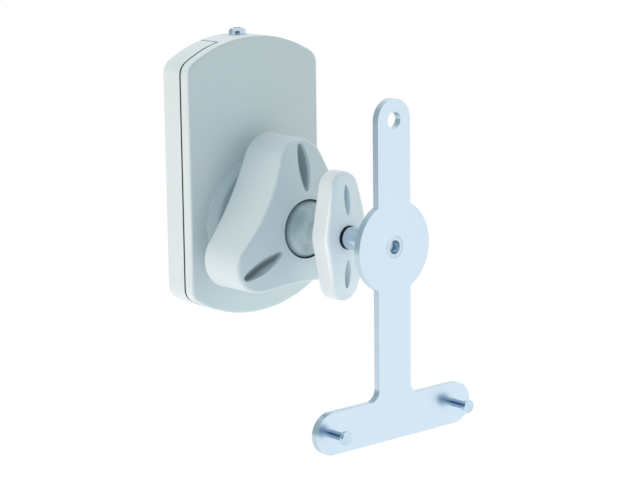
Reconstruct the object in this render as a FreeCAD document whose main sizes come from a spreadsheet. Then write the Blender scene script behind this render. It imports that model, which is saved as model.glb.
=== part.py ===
import FreeCAD, Part
import math
import os
import re

import Sketcher

# Speaker wall bracket: a wall plate with a clip-on cover, a clamped ball joint and a sheet adapter.
# X runs to the right and Z up, as seen from the room; Y runs into the wall.
# The origin is the centre of the wall plate's back. Depths are measured out from the wall, along -Y.

# Driving sizes in millimetres and degrees
DRIVING = {
    # wall plate and cover
    "base_width": 67.7,
    "base_height": 115.0,
    "arch_radius": 60.1,  # top and bottom edges
    "corner_radius": 6.1,
    "plate_depth": 10.7,
    "cover_depth": 5.6,
    "plate_wall": 2.4,
    "plate_back": 3.0,
    "cover_wall": 2.4,
    "cover_face": 2.6,
    "seam_gap": 0.6,  # width of the groove between the plate and the cover
    "seam_depth": 1.3,
    "seam_bevel": 0.25,
    "face_round": 0.9,
    "tongue_width": 28.6,
    "tongue_thickness": 2.6,
    "tongue_gap": 0.35,
    "rib_thickness": 1.6,
    "rib_height": 3.6,
    "rib_offset": 8.0,  # from the middle to each upright rib
    "rib_pitch": 25.0,  # between the cross ribs
    "wall_hole_radius": 2.5,
    "wall_holes_across": 48.0,
    "wall_holes_up": 70.0,
    "wall_boss_radius": 5.0,
    "wall_boss_height": 2.0,
    # hooks that carry the cover
    "hook_spacing": 30.0,
    "hook_width": 7.0,
    "hook_thickness": 2.0,
    "hook_foot": 4.2,
    "hook_level": -42.0,  # top of the bridge that each hook stands on
    "hook_gap": 0.3,
    "bridge_height": 5.0,
    "bridge_thickness": 2.4,
    "bridge_cheek": 2.0,
    # lock screw and its nut
    "lock_depth": 5.9,
    "lock_screw_radius": 2.0,
    "lock_head_radius": 3.6,
    "lock_head_height": 2.9,
    "lock_head_round": 1.8,
    "recess_width": 0.9,
    "recess_reach": 3.6,  # across the cross, tip to tip
    "recess_depth": 1.5,
    "lock_screw_length": 13.0,
    "screw_gap": 0.25,
    "spot_depth": 0.2,
    "nut_width": 7.0,
    "nut_thickness": 3.2,
    "nut_gap": 0.15,
    "nut_cover": 3.0,  # plastic above the nut
    "lock_boss_width": 12.0,
    "lock_boss_height": 13.0,
    "lock_boss_depth": 10.3,
    "lock_boss_gap": 0.6,  # under the tongue
    # socket
    "axis_drop": 17.9,
    "flange_radius": 26.2,
    "flange_thickness": 4.0,
    "flange_rim": 1.0,
    "flange_slope": 3.2,
    "collar_radius": 19.0,
    "collar_short": 1.4,  # the collar ends this far behind the ball's centre
    "socket_floor": 5.7,
    "ball_radius": 14.0,
    "seat_gap": 0.3,  # between the spherical faces
    "mouth_gap": 0.7,  # between the ball and the knob's mouth
    "liner_thickness": 1.5,
    "liner_reach": 60.0,  # degrees from the ball's back
    "pad_radius": 9.1,
    "pad_bore": 3.5,
    "mount_boss_radius": 20.0,
    "mount_boss_depth": 4.8,
    # screws behind the socket
    "flange_screw_circle": 13.0,  # radius of the circle of four screws
    "flange_screw_radius": 1.95,
    "flange_head_radius": 3.4,
    "flange_head_height": 2.1,
    "flange_screw_length": 13.0,
    "washer_radius": 4.2,
    "washer_thickness": 0.8,
    # three-lobed knob
    "knob_back": 23.3,
    "knob_face": 48.7,
    "opening_radius": 12.1,
    "lobe_centre": 24.4,
    "lobe_radius": 12.3,
    "side_radius": 137.0,
    "knob_draft": 1.8,
    "face_flat": 14.0,  # radius of the flat ring round the opening
    "face_reach": 37.5,
    "face_drop": 5.2,
    "face_curve": 90.0,
    "knob_round": 1.7,
    "knob_back_round": 0.8,
    "thread_gap": 0.06,
    "ring_radius": 17.0,
    "ring_start": 1.0,  # the slip ring starts this far ahead of the ball's centre
    "ring_depth": 3.4,
    "scoop_inner": 15.2,
    "scoop_outer": 34.8,
    "scoop_inner_radius": 1.2,
    "scoop_outer_radius": 1.8,
    "scoop_side_radius": 25.0,
    "scoop_sink": 0.4,  # of the scoop's own axis under the face
    "scoop_tilt": 12.0,  # of that axis, as the face falls off
    # wing knob
    "wing_back": 63.3,
    "wing_face": 73.3,
    "wing_tip_centre": 19.0,
    "wing_tip_radius": 7.0,
    "wing_waist_radius": 10.7,
    "wing_hole_radius": 4.75,
    "wing_flat": 7.5,
    "wing_reach": 27.0,
    "wing_drop": 2.6,
    "wing_curve": 90.0,
    "wing_round": 1.5,
    "wing_back_round": 0.8,
    "wing_front_wall": 3.0,
    "wing_scoop_inner": 8.6,
    "wing_scoop_outer": 21.4,
    "wing_scoop_inner_radius": 0.6,
    "wing_scoop_outer_radius": 0.8,
    "wing_scoop_side_radius": 17.0,
    "wing_scoop_sink": 0.45,
    "wing_scoop_tilt": 7.5,
    "insert_radius": 8.9,
    "insert_setback": 0.5,
    "insert_groove": 0.6,
    "cone_length": 1.75,  # squeezes the stem's jaws
    # stem of the ball
    "neck_radius": 5.7,
    "neck_fillet": 3.6,
    "stem_thread_radius": 7.45,
    "thread_start": 59.0,
    "thread_lead": 1.0,  # bevel at the thread's inner end
    "thread_end": 70.0,
    "nose_length": 1.6,
    "nose_radius": 5.4,
    "collet_slot": 1.0,
    "collet_root": 61.0,
    "stem_bore_start": 56.5,
    "bush_fit": 0.05,
    # bush, pin and clip
    "bush_radius": 4.55,
    "bush_bore": 3.55,
    "bush_back": 59.5,
    "bush_proud": 1.0,
    "pin_fit": 0.05,
    "pin_step": 0.1,  # between the bush and the pin's shoulder
    "pin_radius": 4.45,
    "pin_bevel": 0.4,
    "pin_back": 57.2,
    "pin_end_bore": 2.7,
    "pin_end_bore_depth": 4.0,
    "pin_bore_point": 1.0,
    "clip_thickness": 0.9,
    "clip_gap": 0.2,
    "clip_radius": 4.2,
    "clip_groove": 2.9,
    "clip_mouth": 3.6,
    "clip_slack": 0.08,
    # sheet and pegs
    "sheet_back": 97.0,
    "sheet_thickness": 3.0,
    "disc_radius": 18.25,
    "strap_width": 16.65,
    "strap_top": 57.6,
    "bar_drop": 68.2,
    "bar_length": 81.3,
    "bar_height": 16.6,
    "inner_round": 4.5,
    "speaker_hole_radius": 3.3,
    "speaker_hole_height": 49.3,
    "pin_seat_radius": 4.3,
    "pin_rim_bevel": 0.12,
    "peg_radius": 1.6,
    "peg_head_radius": 2.75,
    "peg_head_thickness": 1.4,
    "peg_length": 8.1,
    "peg_head_bevel": 0.25,
    "rivet_gap": 0.02,
    "overcut": 1.0,  # how far a cut runs past the surface it opens
}

# How near two lengths have to be to count as the same, in millimetres
NEAR = 0.01

# Sizes that follow from the driving ones
DERIVED = {
    "base_front": "plate_depth + cover_depth",
    "bridge_under": "plate_back + hook_thickness + 2 * hook_gap",
    "flange_head_back": "base_front - mount_boss_depth - washer_thickness - flange_head_height",
    "flange_screw_offset": "flange_screw_circle / sqrt(2)",
    "flange_front": "base_front + flange_thickness",
    "ball_depth": "knob_face - sqrt((ball_radius + mouth_gap) ^ 2 - opening_radius ^ 2)",
    "socket_radius": "ball_radius + 2 * seat_gap + liner_thickness",
    "pad_pocket_radius": "pad_radius + seat_gap",
    "pad_floor": "base_front + socket_floor",
    "collar_end": "ball_depth - collar_short",
    "mount_boss_back": "base_front - mount_boss_depth",
    "knob_bore": "collar_radius + thread_gap",
    "ring_back": "ball_depth + ring_start",
    "ring_front": "ball_depth + ring_start + ring_depth",
    "insert_front": "wing_face - wing_front_wall",
    "insert_bore": "stem_thread_radius + bush_fit",
    "bush_front": "wing_face + bush_proud",
    "stem_bore": "bush_radius + bush_fit",
    "spigot_radius": "bush_bore - pin_fit",
    "shoulder_depth": "bush_front + pin_step",
    "sheet_front": "sheet_back + sheet_thickness",
    "clip_front": "bush_back - clip_gap",
    "peg_offset": "(bar_length - bar_height) / 2",
    "lock_nut_top": "base_height / 2 - tongue_thickness - nut_cover",
}

# Where the four screws behind the socket stand, across and up from its axis
SCREW_PLACES = [
    ("flange_screw_offset", "flange_screw_offset"),
    ("-flange_screw_offset", "flange_screw_offset"),
    ("-flange_screw_offset", "-flange_screw_offset"),
    ("flange_screw_offset", "-flange_screw_offset"),
]

doc = FreeCAD.newDocument("SpeakerBracket")
sheet = doc.addObject("Spreadsheet::Sheet", "Sizes")
parts = []


def fill_sheet():
    """Write every size to its own row: its name, its value and its alias."""
    rows = [(name, str(value)) for name, value in DRIVING.items()]
    rows += [(name, "=" + formula) for name, formula in DERIVED.items()]
    for row, (name, text) in enumerate(rows, start=1):
        sheet.set(f"A{row}", name)
        sheet.set(f"B{row}", text)
        sheet.setAlias(f"B{row}", name)
    doc.recompute()


def value(formula):
    """The number that a formula of sheet names gives."""
    result = sheet.evalExpression(formula)
    return float(getattr(result, "Value", result))


def linked(formula):
    """The same formula with each sheet name spelt out for another object's expression."""
    names = set(DRIVING) | set(DERIVED)

    def spell(match):
        word = match.group()
        return f"Sizes.{word}" if word in names else word

    return re.sub(r"[a-z_]+", spell, formula)


def new_body(label, on_axis=True):
    """A body for one piece; those on the socket's axis are drawn about it and placed down the plate."""
    body = doc.addObject("PartDesign::Body", "Body_" + label)
    body.Label = label
    if on_axis:
        body.setExpression("Placement.Base.z", linked("-axis_drop"))
    parts.append(body)
    return body


def origin_item(body, role):
    return next(item for item in body.Origin.OriginFeatures if item.Role == role)


def new_sketch(body, name, role="XZ_Plane", depth="0"):
    """A sketch on one of the body's planes. On XZ_Plane, depth lifts it out from the wall."""
    sketch = body.newObject("Sketcher::SketchObject", name)
    sketch.AttachmentSupport = [(origin_item(body, role), "")]
    sketch.MapMode = "FlatFace"
    if depth != "0":
        sketch.setExpression("AttachmentOffset.Base.z", linked(depth))
    return sketch


def fix(sketch, kind, places, formula):
    """Add one dimension to a sketch and tie it to the sheet."""
    index = sketch.addConstraint(Sketcher.Constraint(kind, *places, value(formula)))
    sketch.setExpression(f"Constraints[{index}]", linked(formula))


def fix_point(sketch, geometry, end, x_formula, y_formula):
    fix(sketch, "DistanceX", (-1, 1, geometry, end), x_formula)
    fix(sketch, "DistanceY", (-1, 1, geometry, end), y_formula)


def point(x, y):
    return FreeCAD.Vector(x, y, 0)


def draw_polygon(sketch, corners):
    """A closed outline of straight lines through corners given as pairs of formulas."""
    places = [point(value(x), value(y)) for x, y in corners]
    first = sketch.GeometryCount
    count = len(corners)
    for index in range(count):
        sketch.addGeometry(Part.LineSegment(places[index], places[(index + 1) % count]))
    for index in range(count):
        sketch.addConstraint(
            Sketcher.Constraint("Coincident", first + index, 2, first + (index + 1) % count, 1)
        )
    for index, (x, y) in enumerate(corners):
        fix_point(sketch, first + index, 1, x, y)


def draw_box(sketch, left, right, bottom, top):
    draw_polygon(sketch, [(left, bottom), (right, bottom), (right, top), (left, top)])


def draw_circle(sketch, radius, x="0", y="0"):
    circle = Part.Circle(point(value(x), value(y)), FreeCAD.Vector(0, 0, 1), value(radius))
    index = sketch.addGeometry(circle)
    fix(sketch, "Radius", (index,), radius)
    fix_point(sketch, index, 3, x, y)


def draw_arc(sketch, centre, radius, start, end):
    """A counter-clockwise arc from angle start to angle end, in radians."""
    circle = Part.Circle(point(*centre), FreeCAD.Vector(0, 0, 1), radius)
    return sketch.addGeometry(Part.ArcOfCircle(circle, start, end))


def draw_line(sketch, start, end):
    return sketch.addGeometry(Part.LineSegment(point(*start), point(*end)))


def join_ends(sketch, chain, kind="Coincident"):
    """Tie each piece of a closed chain, a list of (geometry, first end, last end), to the next."""
    for here, there in zip(chain, chain[1:] + chain[:1]):
        sketch.addConstraint(Sketcher.Constraint(kind, here[0], here[2], there[0], there[1]))


def pad(body, sketch, name, length, taper="0"):
    feature = body.newObject("PartDesign::Pad", name)
    feature.Profile = sketch
    feature.setExpression("Length", linked(length))
    if taper != "0":
        feature.setExpression("TaperAngle", linked(f"-({taper})"))
    sketch.Visibility = False
    doc.recompute()
    return feature


def pocket(body, sketch, name, length, outward=False):
    """Cut from the sketch towards the wall, or outward."""
    before = body.Shape.Volume
    feature = body.newObject("PartDesign::Pocket", name)
    feature.Profile = sketch
    feature.setExpression("Length", linked(length))
    feature.Reversed = outward
    sketch.Visibility = False
    doc.recompute()
    if not body.Shape.Volume < before:
        raise RuntimeError(f"{body.Label}: {name} cuts nothing")
    return feature


def turned(body, sketch, name, kind="PartDesign::Revolution", axis="H_Axis"):
    """Turn a sketch about one of its own axes: the horizontal one is the body's Y axis on YZ_Plane."""
    before = body.Shape.Volume if kind == "PartDesign::Groove" else None
    feature = body.newObject(kind, name)
    feature.Profile = sketch
    feature.ReferenceAxis = (sketch, [axis])
    feature.Angle = 360
    sketch.Visibility = False
    doc.recompute()
    if before is not None and not body.Shape.Volume < before:
        raise RuntimeError(f"{body.Label}: {name} cuts nothing")
    return feature


def turned_profile(body, name, corners, kind="PartDesign::Revolution"):
    """Turn a polygon of (depth, radius) formulas about the Y axis."""
    sketch = new_sketch(body, name + "_profile", "YZ_Plane")
    draw_polygon(sketch, [(f"-({depth})", radius) for depth, radius in corners])
    return turned(body, sketch, name, kind)


def hollow_sphere(body, name, radius):
    """Cut the ball's room out of a piece on the socket's axis."""
    before = body.Shape.Volume
    sphere = body.newObject("PartDesign::SubtractiveSphere", name)
    sphere.setExpression("Radius", linked(radius))
    sphere.setExpression("Placement.Base.y", linked("-ball_depth"))
    doc.recompute()
    if not body.Shape.Volume < before:
        raise RuntimeError(f"{body.Label}: {name} cuts nothing")
    return sphere


def edges_where(body, test):
    """Names of the edges of the body so far, in its own frame, that pass a test."""
    return [f"Edge{index}" for index, edge in enumerate(body.Tip.Shape.Edges, start=1) if test(edge)]


def at_depth(edge, depth):
    """True for an edge that lies wholly in the plane at this depth from the wall."""
    box = edge.BoundBox
    return abs(box.YMin + depth) < NEAR and abs(box.YMax + depth) < NEAR


def dress(body, name, kind, size, edges):
    """Round or bevel the named edges of the body so far."""
    if not edges:
        raise RuntimeError(f"{body.Label}: {name} found no edges")
    so_far = body.Tip
    feature = body.newObject("PartDesign::" + kind, name)
    feature.Base = (so_far, edges)
    feature.setExpression("Radius" if kind == "Fillet" else "Size", linked(size))
    doc.recompute()
    return feature


def repeat_round(body, features, name, count):
    """Repeat features evenly round the body's Y axis."""
    pattern = body.newObject("PartDesign::PolarPattern", name)
    pattern.Originals = features
    pattern.Axis = (origin_item(body, "Y_Axis"), [""])
    pattern.Angle = 360
    pattern.Occurrences = count
    body.Tip = pattern
    doc.recompute()
    return pattern


def repeat_across(body, features, name):
    """Mirror features to the other side of the body's upright middle plane."""
    mirror = body.newObject("PartDesign::Mirrored", name)
    mirror.Originals = features
    mirror.MirrorPlane = (origin_item(body, "YZ_Plane"), [""])
    body.Tip = mirror
    doc.recompute()
    return mirror


def draw_arched_outline(sketch, inset):
    """The base's outline, drawn in from its edge by inset: upright sides, arched ends and round corners."""
    half_width = value(f"base_width / 2 - ({inset})")
    arch = value(f"arch_radius - ({inset})")
    corner = value(f"corner_radius - ({inset})")
    arch_rise = value("base_height / 2 - arch_radius")
    corner_x = half_width - corner
    corner_y = arch_rise + math.sqrt((arch - corner) ** 2 - corner_x ** 2)
    lean = math.atan2(corner_y - arch_rise, corner_x)
    top = draw_arc(sketch, (0, arch_rise), arch, lean, math.pi - lean)
    top_left = draw_arc(sketch, (-corner_x, corner_y), corner, math.pi - lean, math.pi)
    left = draw_line(sketch, (-half_width, corner_y), (-half_width, -corner_y))
    low_left = draw_arc(sketch, (-corner_x, -corner_y), corner, math.pi, math.pi + lean)
    bottom = draw_arc(sketch, (0, -arch_rise), arch, math.pi + lean, 2 * math.pi - lean)
    low_right = draw_arc(sketch, (corner_x, -corner_y), corner, -lean, 0)
    right = draw_line(sketch, (half_width, -corner_y), (half_width, corner_y))
    top_right = draw_arc(sketch, (corner_x, corner_y), corner, 0, lean)
    around = [top, top_left, left, low_left, bottom, low_right, right, top_right]
    join_ends(sketch, [(piece, 1, 2) for piece in around], "Tangent")
    for piece in (left, right):
        sketch.addConstraint(Sketcher.Constraint("Vertical", piece))
    fix_point(sketch, top, 3, "0", "base_height / 2 - arch_radius")
    fix_point(sketch, bottom, 3, "0", "arch_radius - base_height / 2")
    for piece in (top, bottom):
        fix(sketch, "Radius", (piece,), f"arch_radius - ({inset})")
    for piece in (top_right, top_left):
        fix(sketch, "Radius", (piece,), f"corner_radius - ({inset})")
    for piece in (low_right, low_left):
        fix(sketch, "Radius", (piece,), f"corner_radius - ({inset})")
    fix(sketch, "DistanceX", (-1, 1, right, 1), f"base_width / 2 - ({inset})")
    fix(sketch, "DistanceX", (-1, 1, left, 1), f"({inset}) - base_width / 2")


def draw_arch_strip(sketch, half_width, inner_radius, outer_radius):
    """A strip that follows the top arch between two upright lines."""
    arch_rise = value("base_height / 2 - arch_radius")
    outer = value(outer_radius)
    inner = value(inner_radius)
    side = value(half_width)
    outer_lean = math.acos(side / outer)
    inner_lean = math.acos(side / inner)
    outer_y = arch_rise + math.sqrt(outer ** 2 - side ** 2)
    inner_y = arch_rise + math.sqrt(inner ** 2 - side ** 2)
    top = draw_arc(sketch, (0, arch_rise), outer, outer_lean, math.pi - outer_lean)
    left = draw_line(sketch, (-side, outer_y), (-side, inner_y))
    low = draw_arc(sketch, (0, arch_rise), inner, inner_lean, math.pi - inner_lean)
    right = draw_line(sketch, (side, inner_y), (side, outer_y))
    join_ends(sketch, [(top, 1, 2), (left, 1, 2), (low, 2, 1), (right, 1, 2)])
    sketch.addConstraint(Sketcher.Constraint("Vertical", left))
    sketch.addConstraint(Sketcher.Constraint("Vertical", right))
    fix_point(sketch, top, 3, "0", "base_height / 2 - arch_radius")
    sketch.addConstraint(Sketcher.Constraint("Coincident", top, 3, low, 3))
    fix(sketch, "Radius", (top,), outer_radius)
    fix(sketch, "Radius", (low,), inner_radius)
    fix(sketch, "DistanceX", (-1, 1, right, 1), half_width)
    fix(sketch, "DistanceX", (-1, 1, left, 1), f"-({half_width})")


def make_wall_plate():
    """The back shell: an arched tray with ribs, screw bosses, a nut boss and two hook bridges."""
    body = new_body("wall_plate", on_axis=False)
    outline = new_sketch(body, "plate_outline")
    draw_arched_outline(outline, "0")
    pad(body, outline, "shell", "plate_depth")
    inside = new_sketch(body, "plate_inside", depth="plate_depth")
    draw_arched_outline(inside, "plate_wall")
    pocket(body, inside, "tray", "plate_depth - plate_back")
    add_ribs(body)
    notch = new_sketch(body, "tongue_notch", depth="plate_depth")
    draw_arch_strip(
        notch,
        "tongue_width / 2 + tongue_gap",
        "arch_radius - tongue_thickness - tongue_gap",
        "arch_radius + overcut",
    )
    pocket(body, notch, "notch", "plate_depth")
    rim = edges_where(body, lambda edge: is_outer_rim(edge, value("plate_depth")))
    dress(body, "seam_edge", "Chamfer", "seam_bevel", rim)
    add_wall_bosses(body)
    add_nut_boss(body)
    add_bridges(body)


def is_outer_rim(edge, depth):
    """True for the outer edges of the base's outline at this depth, leaving out the tray's inner edges."""
    if not at_depth(edge, depth):
        return False
    middle = edge.valueAt((edge.FirstParameter + edge.LastParameter) / 2)
    side = value("base_width / 2")
    arch = value("arch_radius")
    arch_rise = value("base_height / 2 - arch_radius")
    corner = value("corner_radius")
    if abs(abs(middle.x) - side) < NEAR:
        return True
    if abs(math.hypot(middle.x, abs(middle.z) - arch_rise) - arch) < NEAR:
        return True
    curve = edge.Curve
    return isinstance(curve, Part.Circle) and abs(curve.Radius - corner) < NEAR


def add_ribs(body):
    """Two upright ribs and three cross ribs on the back plate, clear of the cover's screw heads."""
    across = "rib_offset + rib_thickness"
    reach = f"base_height / 2 - arch_radius + sqrt((arch_radius - plate_wall / 2) ^ 2 - ({across}) ^ 2)"
    upright = new_sketch(body, "upright_rib", depth="plate_back")
    half = "rib_thickness / 2"
    draw_box(upright, f"rib_offset - {half}", f"rib_offset + {half}", f"-({reach})", reach)
    right = pad(body, upright, "upright_right", "rib_height")
    repeat_across(body, [right], "uprights")
    for place, level in (("low", "-rib_pitch"), ("middle", "0"), ("high", "rib_pitch")):
        cross = new_sketch(body, f"cross_rib_{place}", depth="plate_back")
        side = "base_width / 2 - plate_wall / 2"
        draw_box(cross, f"-({side})", side, f"({level}) - {half}", f"({level}) + {half}")
        pad(body, cross, f"cross_{place}", "rib_height")


def add_wall_bosses(body):
    """Four raised bosses with the holes for the wall screws."""
    bosses = new_sketch(body, "wall_bosses", depth="plate_back")
    holes = new_sketch(body, "wall_holes", depth="plate_back + wall_boss_height")
    for across in ("", "-"):
        for up in ("", "-"):
            x = f"{across}wall_holes_across / 2"
            z = f"{up}wall_holes_up / 2"
            draw_circle(bosses, "wall_boss_radius", x, z)
            draw_circle(holes, "wall_hole_radius", x, z)
    pad(body, bosses, "bosses", "wall_boss_height")
    pocket(body, holes, "screw_holes", "plate_back + wall_boss_height")


def add_nut_boss(body):
    """A block under the tongue with a slot for the square nut and the lock screw's hole."""
    top = "base_height / 2 - tongue_thickness - tongue_gap"
    block = new_sketch(body, "nut_block", depth="plate_back")
    side = "lock_boss_width / 2"
    draw_box(block, f"-{side}", side, f"{top} - lock_boss_height", f"{top} - lock_boss_gap")
    pad(body, block, "nut_boss", "lock_boss_depth - plate_back")
    slot = new_sketch(body, "nut_slot", depth="lock_boss_depth")
    room = "nut_width / 2 + nut_gap"
    draw_box(slot, f"-({room})", room, "lock_nut_top - nut_thickness - nut_gap", "lock_nut_top")
    pocket(body, slot, "nut_room", "lock_boss_depth - lock_depth + nut_width / 2 + nut_gap")
    shaft = new_sketch(body, "lock_shaft", "XY_Plane", depth=top)
    draw_circle(shaft, "lock_screw_radius + screw_gap", "0", "-lock_depth")
    pocket(body, shaft, "lock_hole", "lock_boss_height + overcut")


def add_bridges(body):
    """Two bridges near the bottom, each a bar on two cheeks, that the cover's hooks hang on."""
    half = "hook_width / 2 + hook_gap + bridge_cheek"
    block = new_sketch(body, "bridge_block", depth="plate_back")
    centre = "hook_spacing / 2"
    draw_box(block, f"{centre} - ({half})", f"{centre} + {half}", "hook_level - bridge_height", "hook_level")
    tall = pad(body, block, "bridge", "bridge_under + bridge_thickness - plate_back")
    gap = new_sketch(body, "bridge_gap", depth="bridge_under")
    room = "hook_width / 2 + hook_gap"
    low = "hook_level - bridge_height - overcut"
    draw_box(gap, f"{centre} - ({room})", f"{centre} + {room}", low, "hook_level + overcut")
    cut = pocket(body, gap, "bridge_room", "bridge_under - plate_back")
    repeat_across(body, [tall, cut], "bridges")


def make_front_cover():
    """The front shell with its tongue, the boss behind the socket and two hooks."""
    body = new_body("front_cover", on_axis=False)
    outline = new_sketch(body, "cover_outline", depth="plate_depth")
    draw_arched_outline(outline, "0")
    pad(body, outline, "shell", "cover_depth")
    front = edges_where(body, lambda edge: at_depth(edge, value("base_front")))
    dress(body, "face_edge", "Fillet", "face_round", front)
    inside = new_sketch(body, "cover_inside", depth="plate_depth")
    draw_arched_outline(inside, "cover_wall")
    pocket(body, inside, "tray", "cover_depth - cover_face", outward=True)
    seam = new_sketch(body, "seam_ring", depth="plate_depth")
    draw_arched_outline(seam, "-overcut")
    draw_arched_outline(seam, "seam_depth")
    pocket(body, seam, "seam_groove", "seam_gap", outward=True)
    strip = new_sketch(body, "tongue_strip")
    draw_arch_strip(strip, "tongue_width / 2", "arch_radius - tongue_thickness", "arch_radius")
    pad(body, strip, "tongue", "plate_depth + cover_depth - cover_face / 2")
    add_mount_boss(body)
    add_lock_hole(body)
    add_hooks(body)


def add_mount_boss(body):
    """Thickens the cover behind the socket and drills it for the four screws."""
    ring = new_sketch(body, "mount_ring", depth="mount_boss_back")
    draw_circle(ring, "mount_boss_radius", "0", "-axis_drop")
    pad(body, ring, "mount_boss", "mount_boss_depth - cover_face / 2")
    holes = new_sketch(body, "mount_holes", depth="base_front")
    for x, z in SCREW_PLACES:
        draw_circle(holes, "flange_screw_radius + screw_gap", x, f"{z} - axis_drop")
    pocket(body, holes, "mount_screw_holes", "mount_boss_depth + overcut")


def add_lock_hole(body):
    """A spot face and a hole through the tongue for the lock screw."""
    spot = new_sketch(body, "lock_spot", "XY_Plane", depth="base_height / 2 + overcut")
    draw_circle(spot, "lock_head_radius + screw_gap", "0", "-lock_depth")
    pocket(body, spot, "spot_face", "overcut + spot_depth")
    hole = new_sketch(body, "lock_hole_circle", "XY_Plane", depth="base_height / 2")
    draw_circle(hole, "lock_screw_radius + screw_gap", "0", "-lock_depth")
    pocket(body, hole, "lock_hole", "tongue_thickness + overcut")


def add_hooks(body):
    """Two L-shaped hooks that reach back over the bridges and turn down behind them."""
    centre = "hook_spacing / 2"
    left = f"{centre} - hook_width / 2"
    right = f"{centre} + hook_width / 2"
    foot_back = "plate_back + hook_gap"
    leg = new_sketch(body, "hook_leg", depth=foot_back)
    draw_box(leg, left, right, "hook_level", "hook_level + hook_thickness")
    leg_pad = pad(body, leg, "leg", f"base_front - cover_face / 2 - ({foot_back})")
    foot = new_sketch(body, "hook_toe", depth=foot_back)
    draw_box(foot, left, right, "hook_level - hook_foot", "hook_level + hook_thickness / 2")
    foot_pad = pad(body, foot, "foot", "hook_thickness")
    repeat_across(body, [leg_pad, foot_pad], "hooks")


def turned_about(formula):
    """The same length measured the other way."""
    return formula[1:] if formula.startswith("-") else "-" + formula


def make_lock_screw():
    """A pan-head screw with a cross recess, head up, standing in the tongue's spot face."""
    body = new_body("lock_screw", on_axis=False)
    seat = "base_height / 2 - spot_depth"
    body.setExpression("Placement.Base.y", linked("-lock_depth"))
    body.setExpression("Placement.Base.z", linked(seat))
    head = new_sketch(body, "head_circle", "XY_Plane")
    draw_circle(head, "lock_head_radius")
    pad(body, head, "head", "lock_head_height")
    top = edges_where(body, lambda edge: edge.BoundBox.ZMin > value("lock_head_height") / 2)
    dress(body, "head_round", "Fillet", "lock_head_round", top)
    shank = new_sketch(body, "shank_circle", "XY_Plane")
    draw_circle(shank, "lock_screw_radius")
    pad(body, shank, "shank", "lock_screw_length").Reversed = True
    doc.recompute()
    cross = new_sketch(body, "recess_cross", "XY_Plane", depth="lock_head_height")
    near = "recess_width / 2"
    far = "recess_reach / 2"
    quarter = [(near, near), (near, far), (f"-{near}", far)]
    corners = []
    for _ in range(4):
        corners += quarter
        quarter = [(turned_about(z), x) for x, z in quarter]
    draw_polygon(cross, corners)
    pocket(body, cross, "recess", "recess_depth")


def make_lock_nut():
    """The square nut in its slot, bored for the screw."""
    body = new_body("lock_nut", on_axis=False)
    body.setExpression("Placement.Base.y", linked("-lock_depth"))
    body.setExpression("Placement.Base.z", linked("lock_nut_top - nut_thickness"))
    outline = new_sketch(body, "nut_square", "XY_Plane")
    half = "nut_width / 2"
    draw_box(outline, f"-{half}", half, f"-{half}", half)
    pad(body, outline, "block", "nut_thickness")
    bore = new_sketch(body, "nut_bore", "XY_Plane", depth="nut_thickness")
    draw_circle(bore, "lock_screw_radius + rivet_gap")
    pocket(body, bore, "bore", "nut_thickness")


def make_socket_flange():
    """Flange, collar and spherical seat in one turned form, drilled behind for its screws."""
    body = new_body("socket_flange")
    turned_profile(
        body,
        "flange",
        [
            ("base_front", "0"),
            ("base_front", "flange_radius"),
            ("base_front + flange_rim", "flange_radius"),
            ("flange_front", "flange_radius - flange_slope"),
            ("flange_front", "collar_radius"),
            ("collar_end", "collar_radius"),
            ("collar_end", "0"),
        ],
    )
    rim = edges_where(body, lambda edge: at_depth(edge, value("base_front + flange_rim")))
    dress(body, "rim_round", "Fillet", "flange_rim", rim)
    collar = value("collar_radius + flange_rim")
    slope_top = edges_where(
        body,
        lambda edge: at_depth(edge, value("flange_front")) and edge.BoundBox.ZMax > collar,
    )
    dress(body, "slope_round", "Fillet", "2 * flange_rim", slope_top)
    hollow_sphere(body, "seat", "socket_radius")
    floor = new_sketch(body, "pad_pocket_circle", depth="pad_floor")
    draw_circle(floor, "pad_pocket_radius")
    pocket(body, floor, "pad_pocket", "collar_end - pad_floor", outward=True)
    pilot = new_sketch(body, "pilot_circle", depth="base_front")
    draw_circle(pilot, "flange_screw_radius + rivet_gap", "flange_screw_offset", "flange_screw_offset")
    length = "flange_screw_length - mount_boss_depth + overcut"
    hole = pocket(body, pilot, "pilot", length, outward=True)
    repeat_round(body, [hole], "pilots", 4)


def solid_of_revolution(kind, name, depth, across, up, **sizes):
    """A cylinder or cone that starts at a depth and runs out from the wall, offset from the socket's axis."""
    solid = doc.addObject("Part::" + kind, name)
    for size, formula in sizes.items():
        solid.setExpression(size, linked(formula))
    solid.Placement.Rotation = FreeCAD.Rotation(FreeCAD.Vector(1, 0, 0), 90)
    solid.setExpression("Placement.Base.x", linked(across))
    solid.setExpression("Placement.Base.y", linked(f"-({depth})"))
    solid.setExpression("Placement.Base.z", linked(f"{up} - axis_drop"))
    return solid


def combined(kind, name, base, tool):
    result = doc.addObject("Part::" + kind, name)
    result.Base = base
    result.Tool = tool
    return result


def make_flange_screw(name, across, up):
    """A screw driven outwards from behind the cover: a tapered pan head and a plain shank."""
    head = solid_of_revolution(
        "Cone",
        name + "_head",
        "flange_head_back",
        across,
        up,
        Radius1="flange_head_radius - flange_head_height / 3",
        Radius2="flange_head_radius",
        Height="flange_head_height",
    )
    shank = solid_of_revolution(
        "Cylinder",
        name + "_shank",
        "flange_head_back",
        across,
        up,
        Radius="flange_screw_radius",
        Height="flange_head_height + flange_screw_length",
    )
    return combined("Fuse", name, head, shank)


def make_flange_washer(name, across, up):
    """A flat washer under a screw's head."""
    back = "flange_head_back + flange_head_height"
    disc = solid_of_revolution(
        "Cylinder", name + "_disc", back, across, up, Radius="washer_radius", Height="washer_thickness"
    )
    hole = solid_of_revolution(
        "Cylinder",
        name + "_hole",
        back,
        across,
        up,
        Radius="flange_screw_radius + screw_gap",
        Height="washer_thickness",
    )
    return combined("Cut", name, disc, hole)


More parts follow.
